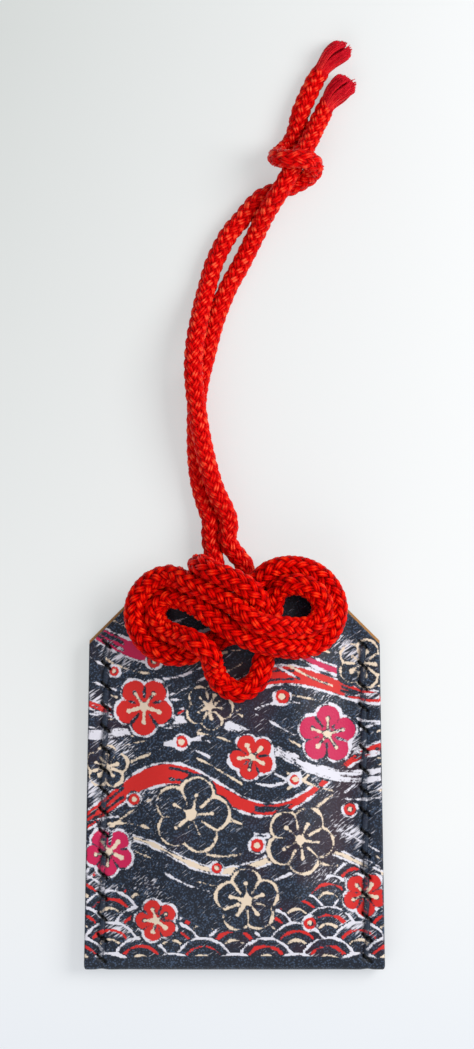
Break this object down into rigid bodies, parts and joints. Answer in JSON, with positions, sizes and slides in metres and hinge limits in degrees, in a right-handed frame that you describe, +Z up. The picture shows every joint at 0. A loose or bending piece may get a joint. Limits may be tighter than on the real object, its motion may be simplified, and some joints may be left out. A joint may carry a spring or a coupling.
{
  "type": "omamori charm",
  "caption": "Flat leather amulet pouch with sewn sides and sloped shoulders, closed at the mouth by an ornamental knot of braided cord that runs on into a strap loop.",
  "frame": {"origin": "middle of the back panel's outer face, on the surface that the charm lies on", "axes": "+Z up out of the printed front, +Y from the bottom fold towards the mouth and along the strap, +X to the right seen from the front"},
  "size_m": [0.06, 0.186, 0.0192],
  "materials": {
    "leather": "black vegetable-tanned leather, fine pebbled grain, printed front, raw tan edges",
    "thread": "black waxed linen thread",
    "cord": "red braided cord, silky",
    "paper": "unbleached handmade paper, matt",
    "tablet_wood": "planed cypress, unvarnished"
  },
  "bodies": {
    "pouch": {"leather_pouch": "leather", "seam_thread_left": "thread", "seam_thread_right": "thread", "ornamental_knot": "cord", "cord_neck_left": "cord", "cord_neck_right": "cord"},
    "strap": {"strap_cord_left": "cord", "strap_cord_right": "cord"},
    "charm": {"paper_wrapper": "paper", "inner_tablet": "tablet_wood"}
  },
  "joints": [
    {"name": "strap_lift", "type": "hinge", "parent": "pouch", "child": "strap", "pos_m": [0, 0.0485, 0.0066], "axis": [1, 0, 0], "range_deg": [0, 90]},
    {"name": "charm_slide", "type": "slide", "parent": "pouch", "child": "charm", "axis": [0, 1, 0], "range_m": [0, 0.005]}
  ]
}
